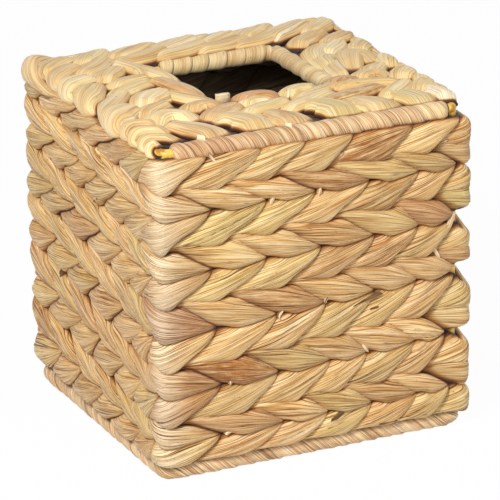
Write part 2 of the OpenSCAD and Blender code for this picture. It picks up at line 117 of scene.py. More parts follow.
def driedLeaf(name, look):
    material, tree = emptyMaterial(name)
    # the meshes give these three: mm along the leaf, mm across it and the strand's number; then lightness
    # (darkened as painted shade inside the cover), pith (also a painted highlight at the near corner) and
    # height over the crease (low height is painted as shade); then green, red and brown stain
    place, tone, stain = (addNode(tree, "ShaderNodeAttribute", attribute_name=label)
                          for label in ("leafPlace", "leafTone", "leafStain"))
    tones = addNode(tree, "ShaderNodeSeparateColor", {"Color": tone.outputs["Color"]})
    stains = addNode(tree, "ShaderNodeSeparateColor", {"Color": stain.outputs["Color"]})

    # noise drawn out along the leaf, with its detail and its roughness
    streaks = {}
    for label, detail, rough in [("band", 2.0, 0.6), ("fibre", 3.0, 0.65), ("blotch", 4.0, 0.7),
                                 ("fleck", 2.0, 0.5), ("vein", 1.0, 0.4)]:
        finer = (1 / look[label + "Long"], 1 / look[label + "Wide"], strandsApart)
        drawnOut = addNode(tree, "ShaderNodeVectorMath", {0: place.outputs["Vector"], 1: finer},
                           operation="MULTIPLY")
        streaks[label] = addNode(tree, "ShaderNodeTexNoise", {
            "Vector": drawnOut.outputs[0], "Scale": 1.0, "Detail": detail, "Roughness": rough}).outputs["Fac"]

    base, blotches, fibres, veins, flecks, paintedCreaseShade = (
        addNode(tree, "ShaderNodeValToRGB", {"Fac": source}, stops=stops).outputs["Color"]
        for source, stops in [
            (streaks["band"], [(0.3, look["shade"]), (0.44, look["body"]),
                               (0.58, look["light"]), (0.74, look["pale"])]),
            (streaks["blotch"], [(0.36, "#000000"), (0.62, "#FFFFFF")]),
            (streaks["fibre"], [(0.36, "#74491F"), (0.44, "#D2B588"), (0.52, "#FFFFFF")]),
            (streaks["vein"], [(0.28, "#5E3A18"), (0.36, "#FFFFFF")]),
            (streaks["fleck"], [(0.68, "#FFFFFF"), (0.74, "#8A5A2E")]),
            (tones.outputs[2], [(0.0, "#1A0C03"), (0.17, "#5C3615"), (0.34, "#CDA878"), (0.5, "#FFFFFF")]),
        ])
    greener, redder, browner = (
        addNode(tree, "ShaderNodeMath", {0: stains.outputs[number], 1: share},
                operation="MULTIPLY").outputs[0]
        for number, share in enumerate((look["greenShare"], look["redShare"], blotches)))
    lightness = addNode(tree, "ShaderNodeCombineColor", {
        "Red": tones.outputs[0], "Green": tones.outputs[0], "Blue": tones.outputs[0]})

    colour = base
    for kind, layer, share in [
            # greener strands were cut younger, redder and browner ones dried slower
            ("MIX", linear(look["green"]), greener), ("MIX", linear(look["red"]), redder),
            ("MIX", linear(look["brown"]), browner), ("MIX", linear(look["pith"]), tones.outputs[1]),
            ("MULTIPLY", fibres, look["fibreDark"]), ("MULTIPLY", veins, look["veinDark"]),
            ("MULTIPLY", flecks, look["flecks"]), ("MULTIPLY", lightness.outputs[0], 1.0),
            # painted shade at the bottom of the creases, where the leaf lies low
            ("MULTIPLY", paintedCreaseShade, 1.0)]:
        colour = addNode(tree, "ShaderNodeMix", {0: share, 6: colour, 7: layer},
                         data_type="RGBA", blend_type=kind).outputs[2]

    fine = addNode(tree, "ShaderNodeMath", {0: streaks["fibre"], 1: look["fineBump"]}, operation="MULTIPLY")
    height = addNode(tree, "ShaderNodeMath", {0: fine.outputs[0], 1: streaks["band"]}, operation="ADD")
    bump = addNode(tree, "ShaderNodeBump", {
        "Strength": look["bump"], "Distance": look["bumpDeep"], "Height": height.outputs[0]})
    rough = addNode(tree, "ShaderNodeMapRange", {
        "Value": streaks["band"], "From Min": 0.3, "From Max": 0.7,
        "To Min": look["rough"] + look["roughSwing"], "To Max": look["rough"] - look["roughSwing"]})
    shader = addNode(tree, "ShaderNodeBsdfPrincipled", {
        "Base Color": colour, "Roughness": rough.outputs[0], "Normal": bump.outputs[0],
        "IOR": 1.45, "Specular IOR Level": 0.35, "Sheen Weight": 0.12, "Sheen Roughness": 0.5})
    addNode(tree, "ShaderNodeOutputMaterial", {"Surface": shader.outputs[0]})
    return material


straw = driedLeaf("waterHyacinthTwined", leafLook)
# the top is drawn in paler, smoother leaf
paleStraw = driedLeaf("waterHyacinthPaleTop", dict(
    leafLook, shade="#D9B377", body="#EACB90", light="#F1D9A4", pale="#F9EAC4",
    bandLong=44.0, bandWide=3.6, fibreLong=34.0, fibreDark=0.5, veinDark=0.25, bump=0.35))
# leaf pulled tight round a wire: finer folds, pinker and a little shinier
woundLook = dict(
    leafLook, shade="#CDA679", body="#E5C295", light="#EED3A8", pale="#F7E6C6",
    bandWide=1.4, fibreWide=0.34, fibreDark=0.8, veinDark=0.45, bump=0.5, rough=0.46)
woundStraw = driedLeaf("waterHyacinthWound", woundLook)
# the same round the opening, where it is paler and its fibres show less
paleWound = driedLeaf("waterHyacinthWoundPale", dict(
    woundLook, shade="#CFAB74", body="#E3C590", light="#ECD4A4", pale="#F4E4C0",
    fibreDark=0.45, veinDark=0.15))


def patchySurface(name, look):
    material, tree = emptyMaterial(name)
    place = addNode(tree, "ShaderNodeTexCoord")
    patches = addNode(tree, "ShaderNodeTexNoise", {
        "Vector": place.outputs["Object"], "Scale": look["patchesPerMetre"], "Detail": 3.0})
    colour = addNode(tree, "ShaderNodeValToRGB", {"Fac": patches.outputs["Fac"]}, stops=look["stops"])
    bump = addNode(tree, "ShaderNodeBump", {
        "Strength": look["bump"], "Distance": look["bumpDeep"], "Height": patches.outputs["Fac"]})
    shader = addNode(tree, "ShaderNodeBsdfPrincipled", {
        "Base Color": colour.outputs["Color"], "Roughness": look["rough"], "IOR": 1.5,
        "Normal": bump.outputs[0]})
    addNode(tree, "ShaderNodeOutputMaterial", {"Surface": shader.outputs[0]})
    return material


# Split leaf stalk: pale, spongy and matt, with pores of about 1 mm
stalk = patchySurface("hyacinthStalkSplit", {
    "patchesPerMetre": 900.0, "stops": [(0.3, "#C9AE7E"), (0.5, "#EBDDBA"), (0.7, "#F7EED8")],
    "bump": 0.6, "bumpDeep": 0.0003, "rough": 0.8})
# Yellow enamel, brushed on by hand over steel wire: a soft shine, with runs of about 3 mm and darker
# where it is thin
enamel = patchySurface("enamelYellowBrushed", {
    "patchesPerMetre": 350.0, "stops": [(0.34, "#B07A1E"), (0.46, "#DDA93A"), (0.62, "#EFC865")],
    "bump": 0.5, "bumpDeep": 0.0004, "rough": 0.38})
print("materials made")


# meshes

def addObject(name, data):
    made = bpy.data.objects.new(name, data)
    bpy.context.scene.collection.objects.link(made)
    return made


class Strands:
    # gathers the strands of one piece: points, faces and what the leaf material reads
    def __init__(self):
        self.points, self.faces, self.place, self.tone, self.stain = [], [], [], [], []
        self.count = 0

    def add(self, points, place, tone, stain):
        # points is rings x round x 3, each ring closed
        rings, ringLong = points.shape[:2]
        index = np.arange(rings * ringLong).reshape(rings, ringLong) + self.count
        after = np.roll(index, -1, axis=1)
        quads = np.stack([index[:-1], after[:-1], after[1:], index[1:]], axis=-1).reshape(-1, 4)
        self.faces += quads.tolist()
        self.faces.append(index[0][::-1].tolist())
        self.faces.append(index[-1].tolist())
        self.points.append(points.reshape(-1, 3))
        self.place.append(place.reshape(-1, 3))
        self.tone.append(tone.reshape(-1, 4))
        self.stain.append(np.broadcast_to(np.array(stain, float), (rings * ringLong, 4)))
        self.count += rings * ringLong

    def make(self, name, material):
        mesh = bpy.data.meshes.new(name)
        mesh.from_pydata((np.vstack(self.points) * mm).tolist(), [], self.faces)
        for label, kind, data, field in (("leafPlace", "FLOAT_VECTOR", self.place, "vector"),
                                         ("leafTone", "FLOAT_COLOR", self.tone, "color"),
                                         ("leafStain", "FLOAT_COLOR", self.stain, "color")):
            attribute = mesh.attributes.new(label, kind, "POINT")
            attribute.data.foreach_set(field, np.vstack(data).astype(np.float32).ravel())
        mesh.materials.append(material)
        mesh.shade_smooth()
        mesh.update()
        piece = addObject(name, mesh)
        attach(piece, "root")
        print(name, self.count, "points")
        return piece


def smooth(x):
    x = np.clip(x, 0, 1)
    return x * x * (3 - 2 * x)


def columnOf(values):
    return np.asarray(values)[:, None]


def rowOf(values):
    return np.asarray(values)[None, :]


def closeStrand(upper, lower, place, depth, tone):
    # joins the shown side and the hidden side into rings round the strand
    points = np.concatenate([upper, lower[:, ::-1]], axis=1)
    back = np.repeat(place[:, -1:], lower.shape[1], axis=1)
    places = np.concatenate([place, back], axis=1)
    tones = np.zeros(points.shape[:2] + (4,))
    tones[..., 0] = tone[0]
    tones[:, :upper.shape[1], 1] = tone[1]
    tones[:, :upper.shape[1], 2] = depth
    tones[..., 3] = 1
    return points, places, tones


noStain = (0, 0, 0, 1)
usualStains = [(0.05, 0.22), (0.02, 0.16), (0.0, 0.2)]   # green, red and brown: the amount and its spread


def grainOf(seed, **own):
    # what makes each strand a little different from the next
    r = np.random.default_rng(seed)
    grain = {
        "seed": float(r.uniform(0, 40)), "fat": r.uniform(0.94, 1.05), "fan": r.uniform(1.7, 2.3),
        "bow": r.uniform(0.1, 0.4), "twist": r.uniform(-0.7, 0.7),
        "folds": [(r.uniform(0.1, 0.9), r.uniform(0.02, 0.045), r.uniform(0.3, 0.85))
                  for _ in range(r.integers(1, 4))],
        "light": r.uniform(0.9, 1.08), "pith": 0.0,
        "stain": [max(0, r.normal(amount, spread)) for amount, spread in usualStains] + [1.0],
    }
    grain.update(own)
    return grain


# the sides

spacings = 6               # stake spacings to a side
around = 4 * spacings
spacingLong = 22.7         # mm from one stake to the next
cornerPart = 0.24          # how much of a spacing bends round a corner, to each side of it
leftFirst = 3 * spacings   # where the left side starts

# one strand where it passes over a stake: a folded, domed band that comes out from under the strand
# before it and ends in an edge that lies on the strand after it
strand = {
    "crest": 6.5, "topCrease": 1.3, "middleCrease": 2.8,   # heights over the middle of the ring wire, mm
    "cornerCrease": 5.6,   # the middle crease where a row bends round the right-hand corner
    "startHeight": 0.45,   # how high a strand starts, of the crease
    "edgeFrom": 0.72,      # where its end starts to drop, of its length
    "edgeStep": 2.6,       # how far it drops, mm
    "under": 0.34,         # how far it starts under the strand before it, of a spacing
    "cornerUnder": 0.3,    # what the first strand of the front adds to that, to come round the corner
    "over": 0.5,           # how far it reaches into the strands of the next row, mm
    "round": 2.8,          # 2 is a round section, more is flatter
    "across": 15, "along": 26, "behind": 4,
}
# the plainer strands of the inner face, seen through the opening and from below
innerStrand = dict(strand, crest=4.8, topCrease=3.0, middleCrease=3.6, edgeStep=1.0,
                   across=6, along=8, behind=2)
# painted shade: the inner strands are drawn darker, for the shadow inside the cover
paintedInsideShade = 0.2   # how light they are, of the outer ones

# lines between the rows, from the top: height at the near corner, at the right-hand one and at the far
# left one, then the places along the front, and some along the left side, in stake spacings from the near
# corner, where two strands part ("<") or meet (">") on that line. A line may have a wave of its own, and
# a gap between its two rows at the right-hand corner, both in mm
rowLines = [
    {"z": (133.2, 131.0, 133.5), "at": [1.02, 2.0, 2.85, 3.75, 4.9, 5.83]},
    {"z": (118.6, 118.8, 124.5), "at": [0.33, 1.23, 2.18, 3.18, 4.4, 5.18],
     "left": [18.4, 19.42, 20.26, 21.1, 22.1, 23.1]},
    {"z": (109.8, 112.4, 114.0), "at": [1.07, 2.1, 3.03, 4.07, 5.02, 5.73]},
    {"z": (94.3, 99.8, 104.0), "at": [0.17, 1.27, 2.2, 3.28, 4.45, 5.25], "wave": 3.4,
     "left": [18.5, 19.55, 20.49, 21.42, 22.3, 23.15]},
    {"z": (85.0, 89.8, 94.0), "at": [1.07, 2.08, 3.12, 4.15, 5.0, 5.67], "gap": 9.0},
    {"z": (72.0, 75.8, 82.0), "at": [0.33, 1.2, 2.4, 3.35, 4.4, 5.17],
     "left": [18.4, 19.2, 20.5, 21.68, 22.6, 23.2]},
    {"z": (59.6, 67.6, 73.5), "at": [1.13, 2.28, 3.2, 4.15, 4.97, 5.7], "gap": 9.0},
    {"z": (45.4, 51.0, 61.0), "at": [0.37, 1.52, 2.53, 3.48, 4.27, 5.05],
     "left": [18.58, 19.55, 20.53, 21.64, 22.57, 23.41]},
    {"z": (36.0, 41.6, 48.5), "at": [1.22, 2.27, 3.3, 3.98, 4.95, 5.53], "gap": 6.0},
    {"z": (22.4, 26.8, 36.0), "at": [0.33, 1.67, 2.68, 3.47, 4.33, 5.03],
     "left": [18.6, 19.55, 20.75, 21.64, 22.66, 23.46]},
    {"z": (15.6, 18.6, 24.0), "at": [1.18, 2.37, 3.23, 4.07, 5.0, 5.6]},
    {"z": (6.2, 6.6, 9.0), "at": [0.6, 1.7, 2.63, 3.6, 4.53, 5.2], "wave": 1.0,
     "left": [18.7, 19.6, 20.66, 21.37, 22.48, 23.5]},
]
# wave: how far a line swings up or down just after each place, mm. usual: where in their spacings the
# places lie on the sides that the photograph doesn't show. shift: numbers of places, then how far every
# place moves on there, in spacings
lineKinds = {
    "meeting": {"wave": -1.8, "usual": 1.05,
                "shift": ([0, 5, 17, 18, 22, 23], [0.1, 0.04, 0.1, 0.35, 0.2, -0.35])},
    "parting": {"wave": 2.6, "usual": 0.33, "shift": ([0, 5, 6], [-0.06, -0.06, 0.0])},
}
uneven = 0.13   # how far a place on those sides may lie from its usual one, in spacings


def kindOf(j):
    return lineKinds["meeting" if j % 2 == 0 else "parting"]


def rowEdges(row):
    # the line where a row's strands part and the one where they meet
    return (row + 1, row) if row % 2 == 0 else (row, row + 1)


def lineMarks(j):
    # every place on line j, right round the cover
    r = np.random.default_rng(600 + j)
    places = [k + kindOf(j)["usual"] + r.uniform(-uneven, uneven) for k in range(around)]
    places[:spacings] = rowLines[j]["at"]
    places[leftFirst:] = rowLines[j].get("left", places[leftFirst:])
    return np.array(places) + np.interp(np.arange(around), *kindOf(j)["shift"])


marks = [lineMarks(j) for j in range(len(rowLines))]


def markAt(j, k):
    return marks[j][k % around] + around * (k // around)


def lineLevel(j, s):
    near, right, farLeft = rowLines[j]["z"]
    return np.interp(np.mod(s, around), [0, spacings, leftFirst, around], [near, right, farLeft, near])


def lineHeight(j, s):
    wave = kindOf(j)["wave"]
    swing = math.copysign(rowLines[j].get("wave", wave), wave) if j else 0
    places = np.concatenate([marks[j] - around, marks[j], marks[j] + around])
    phase = np.interp(s, places, np.arange(len(places)) * 1.0) % 1.0
    steep = 0.3   # the part of a spacing in which the line swings out
    saw = np.where(phase < steep, smooth(phase / steep), 1 - smooth((phase - steep) / (1 - steep)))
    return lineLevel(j, s) + swing * saw


cornerReach = {"front": 0.34, "right": 0.6}   # how far the gap reaches from the corner, in spacings


def cornerGap(j, s):
    # the weave parts round the post at the right-hand corner, further on the side turned away
    reach = np.where(s < spacings, cornerReach["front"], cornerReach["right"])
    return rowLines[j].get("gap", 0.0) / 2 * np.exp(-((s - spacings) / reach) ** 2)


def wallPoint(s, out, z):
    # a place on the wall, counted in stake spacings round from the near left corner
    side = np.floor((s + cornerPart) / spacings)
    t = s - side * spacings
    halfAlong = np.where(side % 2 == 0, ringX, ringY)
    halfOut = np.where(side % 2 == 0, ringY, ringX)
    along = np.clip((t - cornerPart) / (spacings - 2 * cornerPart), 0, 1)
    turn = -np.radians(90 * np.clip((cornerPart - t) / (2 * cornerPart), 0, 1))
    x = halfAlong * (2 * along - 1) + out * np.sin(turn)
    y = -halfOut - out * np.cos(turn)
    face = np.radians(90) * side
    return np.stack([x * np.cos(face) - y * np.sin(face), x * np.sin(face) + y * np.cos(face), z + 0 * x],
                    axis=-1)


def evenSteps(first, last, count):
    # steps from 0 to 1, closer together at both ends
    steps = smooth(np.linspace(first, last, count))
    return (steps - steps[0]) / (steps[-1] - steps[0])


def sideStrand(strands, row, left, right, seed, look=strand, own=None, inside=False):
    # left and right are the strand's edges, each from the line where strands part to the one where they meet
    parting, meeting = rowEdges(row)
    up = 1 if parting > meeting else -1
    grain = grainOf(seed, **(own or {}))
    t = columnOf(evenSteps(0.15, 0.85, look["along"]))
    b = rowOf(evenSteps(0.12, 0.88, look["across"]))
    bowed = grain["bow"] * np.sqrt(np.clip(1 - (1 - b) ** 2, 0, 1)) + (1 - grain["bow"]) * b
    under = look["under"] + (look["cornerUnder"] if seed % 100 == 0 else 0)
    start = left[0] - under + (left[1] - left[0]) * bowed
    end = right[0] + (right[1] - right[0]) * bowed
    s = start + (end - start) * t
    low = lineHeight(parting, s) + up * (cornerGap(parting, s) - look["over"])
    high = lineHeight(meeting, s) - up * (cornerGap(meeting, s) - look["over"])
    z = low + b * (high - low)

    # fibres run from the near corner to the far one, fan out between and don't follow the waves of the lines
    flat = (z - lineLevel(parting, s)) / (lineLevel(meeting, s) - lineLevel(parting, s))
    x = np.clip((s - (left[0] - under)) / (right[1] - left[0] + under), 0, 1)
    bottom = x ** grain["fan"]
    top = 1 - (1 - x) ** grain["fan"]
    across = (flat - bottom) / np.maximum(top - bottom, 0.16)
    height = abs(rowLines[row]["z"][0] - rowLines[row + 1]["z"][0])
    place = np.stack([s * spacingLong, across * height * 0.8, np.full_like(s, grain["seed"])], axis=-1)

    # where the rows bend round the right-hand corner only the outer creases show
    atCorner = np.exp(-((s - spacings) / 0.45) ** 2) * (not inside)
    middleCrease = look["middleCrease"] + (look["cornerCrease"] - look["middleCrease"]) * atCorner
    crease = middleCrease + (look["topCrease"] - middleCrease) * smooth(b) ** 1.3
    domeAcross = np.sqrt(np.clip(1 - np.abs(2 * b - 1) ** look["round"], 0, 1))
    domeAlong = 0.93 + 0.07 * np.sin(math.pi * t)
    dome = crease + (look["crest"] * grain["fat"] - crease) * domeAcross * domeAlong
    rise = smooth(t / 0.5)
    out = crease * look["startHeight"] * (1 - rise) + dome * rise
    dropped = np.clip((t - look["edgeFrom"]) / (1 - look["edgeFrom"]), 0, 1)
    edge = np.sqrt(np.clip(1 - dropped ** 3.5, 0, 1))
    out = (out - look["edgeStep"]) * (1 - edge) + out * edge
    shown = domeAcross * edge * (0.25 + 0.75 * rise)
    for at, wide, deep in grain["folds"]:
        wander = at + 0.07 * np.sin(s * 2.1 + grain["seed"] * 9)
        out = out - deep * np.exp(-((across - wander) / wide) ** 2) * shown
    ripple = 0.07 * np.sin(across * 19 + grain["seed"] * 5)
    out = out + (ripple + grain["twist"] * (b - 0.5)) * shown

    facing = -1 if inside else 1
    upper = wallPoint(s, facing * out, z)
    pick = np.linspace(1, s.shape[1] - 2, look["behind"]).round().astype(int)
    lower = wallPoint(s[:, pick], np.full((s.shape[0], len(pick)), facing * -0.3), z[:, pick])
    # painted shade: the strand is drawn darker where it lies low, towards its edges and its dropped end
    depth = np.clip((out - 1.2) / (look["crest"] - 1.2), 0, 1) * (0.5 + 0.5 * np.clip(shown * 1.6, 0, 1))
    # painted highlight: the leaf is drawn paler along the near corner, where the light catches its bend
    paintedCornerHighlight = 0 if inside else 0.5 * np.exp(-((np.mod(s + 2, around) - 2.05) / 0.36) ** 2)
    tone = (grain["light"] * (paintedInsideShade if inside else 1), np.maximum(grain["pith"], paintedCornerHighlight))
    strands.add(*closeStrand(upper, lower, place, depth, tone), grain["stain"])


def leafBit(strands, s, z, length, wide, turn, seed, out, light, pith=0.0, stain=noStain):
    # a small flat bit that lies on the weave
    u = columnOf(np.linspace(-1, 1, 12))
    v = rowOf(np.linspace(-1, 1, 7))
    level = math.cos(math.radians(turn))
    steep = math.sin(math.radians(turn))
    slim = np.sqrt(np.clip(1.02 - u ** 2, 0, 1)) * wide / 2
    along = u * length / 2 * level - v * slim * steep
    rise = u * length / 2 * steep + v * slim * level
    high = out + 0.9 * np.sqrt(np.clip(1 - v ** 2, 0, 1)) + 0.3 * np.sin(3 * u + seed)
    upper = wallPoint(s + along / spacingLong, high, z + rise)
    lower = wallPoint(s + along[:, ::3] / spacingLong, 0 * along[:, ::3] + 1.0, z + rise[:, ::3])
    place = np.stack([u * length / 2 + 0 * v, v * wide / 2 + 0 * u, 0 * high + seed], axis=-1)
    strands.add(*closeStrand(upper, lower, place, 1 + 0 * high, (light, pith)), stain)


# row and strand from the near corner on: its stain as green, red and brown, and its lightness
accents = {
    (0, 4): ([0, 0.05, 1.0, 1], 0.94), (0, 6): ([0, 0, 0.5, 1], 1.0), (1, 3): ([0, 0.2, 0.8, 1], 0.94),
    (2, 1): ([0.6, 0, 0, 1], 1.02), (2, 2): ([0.4, 0, 0, 1], 1.05), (2, 4): ([0.3, 0.1, 0.7, 1], 0.92),
    (3, 5): ([0, 0.6, 0.4, 1], 0.95), (4, 1): ([0.4, 0, 0, 1], 1.06), (4, 2): ([0.35, 0, 0, 1], 1.04),
    (4, 4): ([0, 0.1, 0.6, 1], 1.02), (5, 0): ([0, 0.9, 0.5, 1], 0.92), (5, 2): ([0, 0.2, 0.7, 1], 0.95),
    (7, 1): ([0, 0.3, 1.0, 1], 0.93), (8, 0): ([0, 0.5, 0.5, 1], 0.95), (7, 0): ([0, 0.4, 0.5, 1], 0.95),
}
# painted light: the left side is drawn browner and a little greener, for the warmer light that falls on it
paintedLeftWarmth = [0.12, 0, 0.2, 0]   # the left side is browner

# pale bits of pith between the strands: stake spacings, height, length and width in mm, turn in degrees
pithBits = [
    (2.18, 110.4, 4.5, 2.0, 75), (3.08, 110.6, 4.0, 1.6, 80), (3.5, 124.0, 4.0, 2.4, 40),
    (5.6, 89.0, 8.0, 2.6, 60), (5.3, 77.5, 8.0, 2.2, 115), (2.31, 62.5, 4.0, 1.8, 60),
    (3.19, 65.5, 4.2, 1.6, 75), (3.94, 41.6, 4.5, 2.6, 120), (1.36, 38.6, 4.2, 2.0, 90),
    (1.6, 40.0, 3.0, 1.2, 100), (1.08, 131.6, 6.0, 1.6, 125), (1.34, 17.0, 5.0, 2.0, 20),
    (5.42, 122.0, 5.0, 1.5, 30), (22.5, 80.0, 5.0, 2.2, 60), (22.95, 80.5, 4.0, 2.4, 100),
    (23.45, 52.0, 4.0, 2.2, 70), (23.3, 27.0, 5.0, 2.4, 110), (19.0, 104.5, 3.6, 2.6, 80),
    (21.5, 67.0, 5.0, 3.0, 30), (4.42, 94.2, 3.4, 1.2, 60)]
# dark flat bits laid over slits and hollows in the weave, as painted shade, told the same way
paintedShadeSpots = [
    (3.95, 62.6, 13.0, 0.9, 16), (4.1, 58.6, 4.6, 1.5, 14), (3.36, 14.8, 6.5, 2.2, 24),
    (1.92, 42.6, 6.0, 1.6, -12), (4.35, 8.2, 8.0, 1.3, 2), (4.9, 9.0, 9.0, 1.0, -6),
    (21.4, 101.5, 7.0, 2.4, 30), (19.6, 57.5, 5.0, 2.2, 60), (20.5, 63.0, 6.0, 1.2, 20),
    (23.2, 78.0, 4.0, 1.2, 60), (22.2, 125.0, 4.0, 1.5, 20), (3.02, 125.2, 5.0, 1.0, 28)]
# drawn is the part of their length and of their width that they are made with
bitKinds = [
    {"bits": pithBits, "drawn": (0.9, 0.8), "look": {"out": 4.0, "light": 0.95, "pith": 0.5}},
    {"bits": paintedShadeSpots, "drawn": (1.0, 0.8), "look": {"out": 5.1, "light": 0.34, "stain": (0, 0.8, 1, 1)}},
]


def weaveSide(name, first):
    strands = Strands()
    for row in range(len(rowLines) - 1):
        parting, meeting = rowEdges(row)
        for k in range(first, first + spacings):
            seed = 100 * row + k % around
            stain, light = accents.get((row, k), (None, None))
            own = {"stain": stain, "light": light} if stain else {}
            if first == leftFirst:
                own["stain"] = (np.array(grainOf(seed)["stain"]) + paintedLeftWarmth).clip(0, 1)
            left = (markAt(parting, k - 1), markAt(meeting, k - 1))
            right = (markAt(parting, k), markAt(meeting, k))
            sideStrand(strands, row, left, right, seed, own=own)
            sideStrand(strands, row, (k - 0.6, k - 0.2), (k + 0.45, k + 0.85), 9000 + seed,
                       look=innerStrand, inside=True)
    for kind in bitKinds:
        longPart, widePart = kind["drawn"]
        for number, (s, z, length, wide, turn) in enumerate(kind["bits"]):
            if first <= s < first + spacings:
                leafBit(strands, s, z, longPart * length, widePart * wide, turn, number, **kind["look"])
    return strands.make(name, straw)


weaves = [weaveSide(name, side * spacings)
          for side, name in enumerate(("weaveFront", "weaveRight", "weaveBack", "weaveLeft"))]
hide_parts("side_weave")


# the top

# how a strand lies on the top: heights above the middle of the ring wire, mm
lying = {
    "crest": 5.3, "edge": 1.3, "endHeight": 2.4, "endPart": 0.2, "rollRadius": 5.0,
    "round": 2.4, "tilt": -0.7, "skew": -0.35,   # how full its section is, and how far it leans to one side
    "along": 24, "across": 15, "behind": 4,
}


def topPoint(x, y, out):
    # a place on the top, which rolls over the ring wires at the left, right and back
    overX = np.clip(np.abs(x) - ringX, 0, None)
    overY = np.clip(y - ringY, 0, None)
    over = np.sqrt(overX ** 2 + overY ** 2)
    angle = np.clip(over / lying["rollRadius"], 0, 2.0)
    safe = np.maximum(over, 1e-6)
    px = np.sign(x) * (np.minimum(np.abs(x), ringX) + overX / safe * out * np.sin(angle))
    py = np.minimum(y, ringY) + overY / safe * out * np.sin(angle)
    return np.stack([px, py, ringZ + out * np.cos(angle)], axis=-1)


def lyingStrand(strands, line, wide, seed, high=0.0, hang=0.0, light=1.0, stain=noStain, pith=0.0):
    # line is where the strand's middle starts, passes and ends, wide is how wide it is there
    grain = grainOf(seed, pith=pith)
    u = columnOf(np.linspace(0, 1, lying["along"]))
    v = rowOf(np.sin(np.linspace(-0.5, 0.5, lying["across"]) * math.pi))
    start, middle, end = (np.array(place, float) for place in line)
    pull = 2 * middle - (start + end) / 2
    centre = (1 - u) ** 2 * start + 2 * u * (1 - u) * pull + u ** 2 * end
    along = 2 * (1 - u) * (pull - start) + 2 * u * (end - pull)
    along /= np.linalg.norm(along, axis=1)[:, None]
    half = np.interp(u, [0, 0.5, 1], np.array(wide) / 2) + 0.07 * wide[1] * np.sin(math.pi * u)
    x = centre[:, :1] - along[:, 1:] * half * v
    y = centre[:, 1:] + along[:, :1] * half * v

    tips = smooth(u / lying["endPart"]) * smooth((1 - u) / lying["endPart"])
    crest = lying["endHeight"] + (lying["crest"] + high - lying["endHeight"]) * tips * grain["fat"]
    skewed = (v - lying["skew"]) / np.where(v < lying["skew"], 1 + lying["skew"], 1 - lying["skew"])
    dome = np.sqrt(np.clip(1 - np.abs(skewed) ** lying["round"], 0, 1))
    tilted = (lying["tilt"] + 0.5 * grain["twist"]) * v * tips * dome
    out = lying["edge"] + (crest - lying["edge"]) * dome + tilted
    for at, broad, deep in grain["folds"]:
        wander = 2 * at - 1 + 0.1 * np.sin(u * 4 + grain["seed"])
        out = out - 0.7 * deep * np.exp(-((v - wander) / (2.2 * broad)) ** 2) * dome
    sink = hang * smooth((u - 0.6) / 0.4)
    length = np.linalg.norm(end - start)
    place = np.stack([u * length + 0 * v, v * wide[1] / 2 + 0 * u, np.full_like(out, grain["seed"])], axis=-1)
    upper = topPoint(x, y, out - sink)
    pick = np.linspace(1, out.shape[1] - 2, lying["behind"]).round().astype(int)
    lower = topPoint(x[:, pick], y[:, pick], 0 * out[:, pick] - 0.5 * sink)
    # painted shade: the lying strand is drawn darker where it lies low, at its tucked tips and along its
    # edges
    depth = np.clip((out - 1.6) / 2.6, 0, 1) * np.clip(0.25 + 1.5 * tips, 0, 1) * (0.2 + 0.8 * dome)
    tint = (np.array(stain) + 0.5 * np.array(grain["stain"])).clip(0, 1)
    tone = (light * (0.5 + 0.5 * grain["light"]), grain["pith"])
    strands.add(*closeStrand(upper, lower, place, depth, tone), tint)


def layStrands(strands, seed, rows, **shared):
    # each row is a strand's line, its widths, how much higher than usual it lies and what else is its own
    for index, (line, wide, high, *own) in enumerate(rows):
        lyingStrand(strands, line, wide, seed + index, high=high, **shared, **(own[0] if own else {}))


# the woven underside that the strands lie on, heights above the middle of the ring wire, mm
underside = {"shown": 1.3, "ripple": 0.3, "hidden": -3.4, "along": 40, "across": 30}


def underlay(strands, xs, ys):
    u = columnOf(np.linspace(*xs, underside["along"]))
    v = rowOf(np.linspace(*ys, underside["across"]))
    out = underside["shown"] + underside["ripple"] * np.sin(u * 0.9) * np.sin(v * 1.1)
    upper = topPoint(u + 0 * v, v + 0 * u, out)
    lower = topPoint(u + 0 * v[:, ::6], v[:, ::6] + 0 * u, underside["hidden"] + 0 * out[:, ::6])
    place = np.stack([u + 0 * v, v * 0.5 + 0 * u, 0 * out], axis=-1)
    # painted shade: the underside is drawn dark, for the shadow in the gaps between the strands; its light
    # brown stain is the leaf's own
    strands.add(*closeStrand(upper, lower, place, 0.12 + 0 * out, (0.8, 0.0)), [0, 0, 0.3, 1])


top = Strands()
strip = 6.0                # how far the top reaches past the middle of the ring wire, over its roll
frontEnd = -ringY + 0.5    # where the front row ends, under the front winding
besideFront = 3.8          # where the underside starts, from the middle of the front wire
besideCross = 4            # and from the middle of the opening's two wires
tanLeaf = {"stain": (0, 0.1, 0.5, 1)}
# the underside in front of the opening, left of it, right of it and behind it
wholeWide = (-ringX - strip, ringX + strip)
besideHole = (hole["front"] - 2, hole["back"] + 5)
underlay(top, wholeWide, (-ringY + besideFront, hole["front"] - 1))
underlay(top, (-ringX - strip, hole["left"] - 1.5), besideHole)
underlay(top, (crossRightX + besideCross, ringX + strip), besideHole)
underlay(top, wholeWide, (crossBackY + besideCross, ringY + strip))
